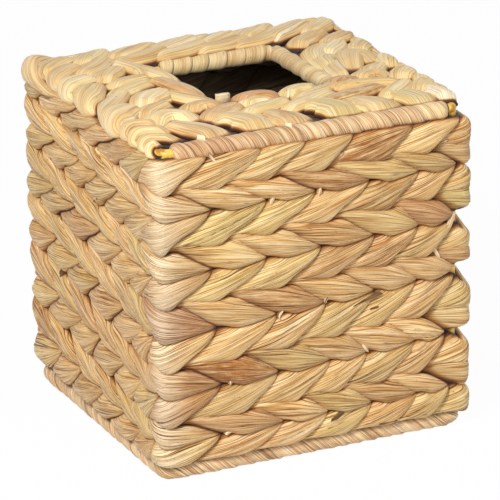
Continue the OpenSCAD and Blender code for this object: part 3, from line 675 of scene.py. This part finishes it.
# front row: fans that start under the row behind them and dive under the front winding
layStrands(top, 301, [
    ([(-53, -35), (-43, -45), (-38, frontEnd)], (9, 16, 15), 0.2, {"stain": (0, 0.3, 0, 1)}),
    ([(-35, -38), (-21, -43), (-17.5, frontEnd)], (9, 19, 18), 0.4),
    ([(-12, -40), (-6.5, -47), (-4, frontEnd)], (9, 18, 17), 0.0, tanLeaf),
    ([(3, -38), (16, -43), (18.5, frontEnd)], (9, 20, 19), 0.3, {"stain": (0.3, 0, 0, 1)}),
    ([(23, -42), (31.5, -47), (34.5, frontEnd)], (9, 20, 19), 0.0),
    ([(40, -41), (49, -45), (52, frontEnd)], (8, 17, 15), 0.0),
    ([(57, -43), (63, -49), (63.5, -59)], (7, 11, 11), 0.5, {"pith": 0.7})])
# the near corner: narrow ribbons nested over the left wire, with dark gaps between
layStrands(top, 308, [
    ([(-76, -59), (-67.5, -53.5), (-62, -57)], (5, 6, 5), -0.6),
    ([(-76, -54), (-64.5, -46.5), (-51.5, -55)], (6, 8, 7), -0.1),
    ([(-76, -46), (-64, -38.5), (-51, -46)], (7, 8.5, 8), 0.3),
    ([(-76, -38), (-63, -30.5), (-52, -37)], (8, 8.5, 7), 0.5)])
# second row, rising to the right
layStrands(top, 321, [
    ([(-58, -38), (-46, -26), (-36, -38)], (10, 14, 10), 0.6, {"light": 1.03}),
    ([(-35, -40), (-25, -31), (-13, -25)], (9, 14, 9), 0.0, tanLeaf),
    ([(-21, -40), (-7, -33.5), (6, -30)], (8, 12, 8), 0.3),
    ([(-4, -43), (10, -34.5), (28, -26)], (8, 12, 8), 0.0),
    ([(5, -31), (20, -24), (32, -21)], (7, 9, 7), -0.3),
    ([(14, -42), (30, -35), (50, -29)], (8, 13, 9), 0.2, {"stain": (0.1, 0.0, 0.9, 1)}),
    ([(39, -47), (49, -37), (59, -29)], (8, 12, 8), 0.0),
    ([(55, -45), (62, -36), (70, -28)], (8, 11, 9), 0.0),
    ([(25, -26), (40, -24.5), (59, -32)], (8, 11, 8), 0.4),
    ([(66, -50), (68, -40), (75, -33)], (8, 10, 8), 0.0)])
# lobes along the front of the opening
layStrands(top, 341, [
    ([(-37, -27), (-29, -19.5), (-19, -25)], (9, 13, 9), 0.0, tanLeaf),
    ([(-15, -23), (-4, -18.5), (6, -25)], (9, 11, 8), 0.2, {"stain": (0, 0.7, 0.45, 1), "hang": 0.5}),
    ([(-15, -31), (-8, -25.5), (1, -31)], (8, 10, 8), 0.2),
    ([(5, -27), (14, -19.5), (23, -23)], (8, 11, 9), 0.3),
    ([(27, -24), (35, -17), (42, -24)], (9, 12, 9), 0.0, {"stain": (0, 0.2, 0.9, 1)}),
    ([(39, -22), (48, -15), (56, -21)], (9, 12, 9), 0.4),
    ([(56, -27), (63, -18), (72, -14)], (9, 13, 10), 0.0),
    ([(62, -36), (69, -25), (76, -22)], (8, 11, 9), 0.0)])
# left of the opening, from the outside in
layStrands(top, 360, [
    ([(-76, -32), (-66, -17), (-49, -12)], (13, 22, 13), 0.9),
    ([(-75, -16), (-60, -3), (-46, 14)], (8, 11, 8), 0.0),
    ([(-76, -2), (-66, 11), (-53, 24)], (12, 18, 9), 0.7),
    ([(-76, 17), (-66, 29), (-48, 33)], (10, 15, 12), 0.3),
    ([(-74, 30), (-64, 43), (-49, 51)], (11, 15, 12), 0.3),
    ([(-70, 44), (-62, 54), (-48, 61)], (11, 14, 12), 0.2),
    ([(-57, -26), (-48, -16), (-37, -13)], (8, 11, 8), 0.1),
    ([(-51, -15), (-42, -3), (-32, 0)], (10, 17, 12), 0.8),
    ([(-57, 1), (-46, 12), (-32, 16)], (8, 12, 9), 0.1),
    ([(-53, 14), (-42, 21), (-30, 21)], (8, 11, 9), 0.4),
    ([(-52, 23), (-45, 33), (-37, 39)], (9, 13, 10), 0.2),
    ([(-40, 44), (-33.5, 36), (-32, 20)], (8, 8.5, 7), 0.6)])
layStrands(top, 380, [
    ([(-34, 44), (-28, 30), (-22, 13)], (10, 12, 7), -0.3),
    ([(-31, 24), (-26, 6), (-21.5, -10)], (9, 11, 6), -0.5, {"stain": (0, 0.3, 0.35, 1)}),
    ([(-36, 4), (-28, -11), (-19, -23)], (9, 12, 7), -0.2)], hang=1.2)
# right of the opening
layStrands(top, 400, [
    ([(37, -16), (38, -4), (42, 7)], (8, 9, 7), 0.0),
    ([(38, -6), (40, 10), (48, 5)], (9, 12, 9), 0.6),
    ([(37, 6), (41, 20), (53, 30)], (8, 11, 9), 0.1),
    ([(45, -9), (53, 10), (61, -3)], (10, 16, 11), 0.8),
    ([(42, 14), (50, 23), (58, 29)], (9, 13, 9), 0.5),
    ([(57, 12), (62, 20), (69, 25)], (9, 13, 10), 0.3),
    ([(60, -12), (66, 2), (75, 9)], (9, 12, 9), 0.2),
    ([(38, 30), (46, 39), (60, 47)], (9, 12, 10), 0.4),
    ([(50, 29), (60, 36), (70, 41)], (9, 12, 9), 0.2),
    ([(46, -20), (52, -10), (60, -6)], (9, 12, 9), 0.0),
    ([(64, 22), (70, 32), (76, 40)], (9, 12, 9), 0.1),
    ([(66, -14), (71, -4), (76, 2)], (9, 11, 9), 0.0)])
# behind the opening: two rows of fat strands rising to the right
layStrands(top, 420, [
    ([(-58, 36), (-47, 44), (-36, 54)], (10, 14, 10), 0.2),
    ([(-40, 45), (-24, 49), (-7, 57)], (10, 15, 11), 0.3),
    ([(-22, 45.5), (-6, 49), (10, 57)], (10, 15, 11), 0.3),
    ([(-3, 45.5), (12, 49), (29, 56)], (10, 15, 11), 0.3),
    ([(14, 45.5), (27, 48), (42, 54)], (9, 13, 10), 0.1),
    ([(-52, 48), (-43, 58), (-33, 66)], (10, 15, 11), 0.2),
    ([(-36, 50), (-25, 59), (-12, 66)], (10, 16, 12), 0.0),
    ([(-18, 50), (-5, 59), (8, 66)], (11, 16, 12), 0.2),
    ([(2, 50), (13, 58), (25, 65)], (11, 15, 12), 0.0),
    ([(21, 49), (31, 60), (43, 68)], (11, 16, 12), 0.4),
    ([(31, 45), (44, 55), (59, 65)], (11, 15, 12), 0.2),
    ([(49, 44), (60, 54), (70, 64)], (10, 14, 12), 0.2)])
# along the back and the right edge, then round the far left corner
layStrands(top, 440, [([(x, 73), (x + 17, 69), (x + 36, 64)], (9, 13, 10), -0.2) for x in range(-66, 35, 25)])
layStrands(top, 450, [([(74.5, y), (72, y + 14), (66, y + 29)], (9, 13, 10), 0.4)
                      for y in np.arange(7) * 17.5 - 54])
layStrands(top, 460, [
    ([(-77, 18), (-74.5, 60), (-44, 72)], (11, 17, 14), 2.2, {"light": 0.97}),
    ([(-73, 60), (-63, 69), (-38, 71)], (10, 14, 11), 1.3)])
# the cut end of a stake that stands at the opening: its shown side, then the two hidden corners
stub = np.array([(-21.0, -17.6), (-21.2, -19.2), (-19.6, -19.6),
                 (-16.8, -19.6), (-15.2, -19.2), (-15.4, -17.6)])
stubBehind = np.array([(-20.3, -17.2), (-18.7, -17.2)])
stubZ = (ringZ + np.array([0.5, 5.0, 5.9, 6.1]))[:, None, None]
stubShown, stubHidden = (np.concatenate([side + 0 * stubZ, stubZ + 0 * side[:, :1]], axis=-1)
                         for side in (stub, stubBehind))
stubTone = (0.97, 0.45)   # its lightness, and how pithy it is
top.add(*closeStrand(stubShown, stubHidden, stubShown, np.ones(stubShown.shape[:2]), stubTone), noStain)
# bits of pith
layStrands(top, 471, [
    ([(-10.5, -59), (-9.5, -60), (-8, -61.5)], (2.0, 2.4, 2.0), -0.2, {"pith": 0.6}),
    ([(-47.5, -57), (-46, -59), (-45, -61)], (1.3, 1.6, 1.3), 0.0, {"pith": 0.5}),
    ([(6, -27), (8, -25), (11, -24.5)], (1.4, 2.0, 1.4), 0.3, {"pith": 0.6})])
topPiece = top.make("weaveTop", paleStraw)
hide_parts("top_weave")


# leaf wound round a wire

upward = np.array([0, 0, 1.0])


def straightPath(start, end):
    # a path gives its length and, for places along it, the wire's middle, the way out and the way up
    start = np.array(start, float)
    end = np.array(end, float)
    length = np.linalg.norm(end - start)
    direction = (end - start) / length

    def at(run):
        centre = start + direction * run[..., None]
        return centre, np.cross(direction, upward) + 0 * centre, upward + 0 * centre
    return length, at


def rimPath(bend):
    # round the rim wire, which has corners of the radius bend
    xs = ringX - bend
    ys = ringY - bend
    corners = [(xs, -ys), (xs, ys), (-xs, ys), (-xs, -ys)]
    legs = [2 * xs, 2 * ys, 2 * xs, 2 * ys]
    arc = math.pi / 2 * bend
    length = sum(legs) + 4 * arc

    def at(run):
        run = np.mod(run, length)
        centre = np.zeros(run.shape + (3,))
        outward = np.zeros(run.shape + (3,))
        begin = 0.0
        for m, leg in enumerate(legs):
            angle = math.radians(90 * m)
            forward = np.array([math.cos(angle), math.sin(angle), 0])
            out = np.array([math.sin(angle), -math.cos(angle), 0])
            corner = np.array([*corners[m], 0])
            here = ((run >= begin) & (run < begin + leg))[..., None]
            centre = np.where(here, corner + out * bend + forward * (run - begin - leg)[..., None], centre)
            outward = np.where(here, out + 0 * centre, outward)
            begin += leg
            here = ((run >= begin) & (run < begin + arc))[..., None]
            turn = angle + (run - begin) / bend
            out = np.stack([np.sin(turn), -np.cos(turn), 0 * turn], axis=-1)
            centre = np.where(here, corner + out * bend, centre)
            outward = np.where(here, out, outward)
            begin += arc
        centre[..., 2] = rimZ
        return centre, outward, upward + 0 * centre
    return length, at


winding = {
    "around": 34, "across": 9, "thick": 0.5,
    "overlap": 0.8,                   # how far a ribbon reaches past what shows of it, on each side
    "step": 0.32,                     # how much its far edge stands out over its middle
    "edgeDown": 0.5,                  # how far its edges are rolled in
    "endDown": 0.35,                  # how far its ends are tucked in
    "taper": 1.3, "taperLong": 1.6,   # how a whole winding is drawn in to the wire at its ends
    "stainSpread": (0.1, 0.1, 0.12),  # how unevenly the ribbons are green, red and brown
}
plainLeaf = (1.0, noStain)   # lightness and stain


def woundWire(name, path, look, replaced, seed, material=woundStraw):
    # ribbons of leaf that go once round the wire and lie over the edge of the one before. lead is how far
    # a ribbon travels along the wire on its way round, widths how broad the ribbons show along it
    length, at = path
    closed = look.get("closed", False)
    lead = look["lead"]
    strands = Strands()
    r = np.random.default_rng(seed)
    w = columnOf(np.linspace(-0.04, 1.04, winding["around"]))
    v = rowOf(np.linspace(-1, 1, winding["across"]))
    angle = look.get("handed", 1) * (w * 2 * math.pi) + look["seam"]
    run = 0.0 if closed else -lead / 2
    while run < length + (0 if closed else lead / 2) - 1.0:
        wide = float(r.uniform(*look["widths"]))
        if closed:
            rest = length - run
            wide = min(wide, rest) if rest > 1.6 * look["widths"][0] else rest
        along = run + wide / 2 + lead * (w - 0.5) + v * (wide / 2 + winding["overlap"])
        if not closed:
            along = np.clip(along, 0.0, length)
        radius = look["diameter"] / 2 - winding["step"] + winding["step"] * v + r.uniform(-0.12, 0.12)
        radius = radius - winding["edgeDown"] * np.clip((np.abs(v) - 0.7) / 0.3, 0, 1) ** 2
        radius = radius - winding["endDown"] * np.clip(np.abs(w - 0.5) * 2 - 0.8, 0, 1)
        fold = r.uniform(-0.5, 0.5)
        radius = radius - r.uniform(0.05, 0.25) * np.exp(-((v - fold) / 0.12) ** 2)
        if not closed:
            toEnd = np.minimum(along, length - along)
            radius = radius - winding["taper"] * np.clip(1 - toEnd / winding["taperLong"], 0, 1) ** 2
        centre, outward, up = at(along)
        across = np.cos(angle)[..., None] * outward + np.sin(angle)[..., None] * up
        upper = centre + radius[..., None] * across
        lower = centre + (radius - winding["thick"])[..., None] * across
        if "floor" in look:
            upper[..., 2] = np.maximum(upper[..., 2], look["floor"])
            lower[..., 2] = np.maximum(lower[..., 2], look["floor"] + 0.3)
        place = np.stack([w * math.pi * look["diameter"] + 0 * v, v * wide / 2 + 0 * w,
                          np.full((len(w), winding["across"]), r.uniform(0, 40))], axis=-1)
        # painted shade: each ribbon is drawn darker along both edges, most where it dips under the ribbon
        # before
        edge = r.uniform(0.1, 0.6)
        depth = (edge + (1 - edge) * smooth((v + 1) / 0.2)) * (0.4 + 0.6 * smooth((1 - v) / 0.1)) + 0 * w
        light, stain = look["tones"](run) if "tones" in look else plainLeaf
        more = [r.normal(0, spread) for spread in winding["stainSpread"]] + [0]
        stain = np.clip(np.array(stain) + np.array(more), 0, 1)
        strands.add(*closeStrand(upper, lower, place, depth, (light * r.uniform(0.92, 1.06), 0.0)), stain)
        run += wide
    piece = strands.make(name, material)
    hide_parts(*replaced)


def frontTone(run):
    # the first turns at the left are pinkish, then straw
    return (1.0, [0, 0.55, 0, 1]) if run < 26 else (1.03, [0.05, 0.08, 0, 1])


wireBend = 4.15   # the radius of the wires' bends, mm
woundWire("frontEdgeWound",
          straightPath((-ringX + wireBend, -ringY, ringZ), (ringX - wireBend, -ringY, ringZ)),
          {"diameter": 7.9, "lead": 12.0, "widths": (6.0, 14.0), "handed": -1, "seam": 1.25 * math.pi,
           "tones": frontTone}, ["front_edge_winding"], 21)
woundWire("openingBackWound",
          straightPath((hole["left"], crossBackY, ringZ), (hole["right"] + 3, crossBackY, ringZ)),
          {"diameter": 7.6, "lead": 5.0, "widths": (6.0, 10.0), "seam": 1.25 * math.pi},
          ["opening_winding_back"], 22, material=paleWound)
woundWire("openingRightWound",
          straightPath((crossRightX, hole["front"], ringZ), (crossRightX, crossBackY, ringZ)),
          {"diameter": 7.6, "lead": 8.0, "widths": (7.0, 11.0), "seam": -0.25 * math.pi},
          ["opening_winding_right"], 23, material=paleWound)
sideNames = ("front", "right", "back", "left")
rimParts = [part + side for part in ("rim_winding_", "rim_corner_") for side in sideNames]
woundWire("rimWound", rimPath(wireBend),
          {"diameter": 7.7, "lead": 22.0, "widths": (5.0, 10.0), "handed": -1, "seam": math.pi,
           "floor": 0.0, "closed": True}, rimParts, 24)

# the CAD pieces that stay get their own materials
for name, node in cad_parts.items():
    chosen = enamel if name == "wire_frame" else stalk if "stake" in name else straw
    node.data.materials.clear()
    node.data.materials.append(chosen)
print("pieces made")


# camera, at the photograph's view: angles in degrees, distance and target in mm
view = {"azimuth": -25.32, "elevation": 20.17, "roll": -0.70, "distance": 1619.0, "target": (2.0, 0.5, 65.2)}
focalPixels = 3977.0   # the focal length for a picture that is imagePixels wide
imagePixels = 500
sensorWide = 36        # mm
az, el, roll = (math.radians(view[k]) for k in ("azimuth", "elevation", "roll"))
back = Vector((math.sin(az) * math.cos(el), -math.cos(az) * math.cos(el), math.sin(el)))
rightWay = Vector((math.cos(az), math.sin(az), 0))
upWay = back.cross(rightWay)
rolledRight = rightWay * math.cos(roll) + upWay * math.sin(roll)
rolledUp = upWay * math.cos(roll) - rightWay * math.sin(roll)
camera = bpy.data.cameras.new("photoCamera")
camera.sensor_width = sensorWide
camera.lens = focalPixels / imagePixels * sensorWide
camera.clip_start = 0.05
camera.clip_end = 20
cameraObject = addObject("photoCamera", camera)
spot = (Vector(view["target"]) + back * view["distance"]) * mm
turned = Matrix((rolledRight, rolledUp, back)).transposed().to_4x4()
cameraObject.matrix_world = Matrix.Translation(spot) @ turned
bpy.context.scene.camera = cameraObject


# studio, with the lamps in metres and watts
studio = {
    "lamps": {
        "keyLamp": {"place": (-0.68, -0.58, 0.80), "size": 0.30, "power": 11.2},
        "fillLamp": {"place": (0.5, -0.9, 0.5), "size": 0.5, "power": 2.6},
    },
    "lampTarget": (0, 0, 0.07),
    "paper": 0.85, "floorGlow": 0.97, "floorHalf": 3.0, "floorZ": -0.0002, "ambient": 0.36,
}
for name, kind in studio["lamps"].items():
    lamp = bpy.data.lights.new(name, "AREA")
    lamp.shape = "DISK"
    lamp.size = kind["size"]
    lamp.energy = kind["power"]
    lampObject = addObject(name, lamp)
    lampObject.location = kind["place"]
    aim = Vector(studio["lampTarget"]) - Vector(kind["place"])
    lampObject.rotation_euler = aim.to_track_quat("-Z", "Y").to_euler()


def whiteToCamera(tree, share, plain, white, output):
    # shows a share of white to the camera, directly, in a gloss or through something clear
    rays = addNode(tree, "ShaderNodeLightPath")
    seen = rays.outputs["Is Camera Ray"]
    for kind in ("Is Glossy Ray", "Is Transmission Ray"):
        seen = addNode(tree, "ShaderNodeMath", {0: seen, 1: rays.outputs[kind]},
                       operation="MAXIMUM").outputs[0]
    part = addNode(tree, "ShaderNodeMath", {0: seen, 1: share}, operation="MULTIPLY")
    mixed = addNode(tree, "ShaderNodeMixShader", {
        0: part.outputs[0], 1: plain.outputs[0], 2: white.outputs[0]})
    addNode(tree, output, {"Surface": mixed.outputs[0]})


# pale paper floor that keeps a little of the cover's shadow
floorMaterial, floorTree = emptyMaterial("studioFloor")
paper = addNode(floorTree, "ShaderNodeBsdfDiffuse", {"Color": [studio["paper"]] * 3 + [1]})
glow = addNode(floorTree, "ShaderNodeEmission", {"Color": (1, 1, 1, 1), "Strength": 1.0})
whiteToCamera(floorTree, studio["floorGlow"], paper, glow, "ShaderNodeOutputMaterial")
far = studio["floorHalf"]
floorMesh = bpy.data.meshes.new("studioFloor")
floorMesh.from_pydata([(-far, -far, 0), (far, -far, 0), (far, far, 0), (-far, far, 0)], [], [(0, 1, 2, 3)])
floorMesh.materials.append(floorMaterial)
floorObject = addObject("studioFloor", floorMesh)
floorObject.location.z = studio["floorZ"]

# even light from all round, and plain white behind
world = bpy.data.worlds.new("studioWorld")
bpy.context.scene.world = world
world.use_nodes = True
worldTree = world.node_tree
worldTree.nodes.clear()
ambient = addNode(worldTree, "ShaderNodeBackground", {"Color": (1, 1, 1, 1), "Strength": studio["ambient"]})
white = addNode(worldTree, "ShaderNodeBackground", {"Color": (1, 1, 1, 1), "Strength": 1.0})
whiteToCamera(worldTree, 1.0, ambient, white, "ShaderNodeOutputWorld")
bpy.context.scene.view_settings.view_transform = "Standard"
print("studio made")
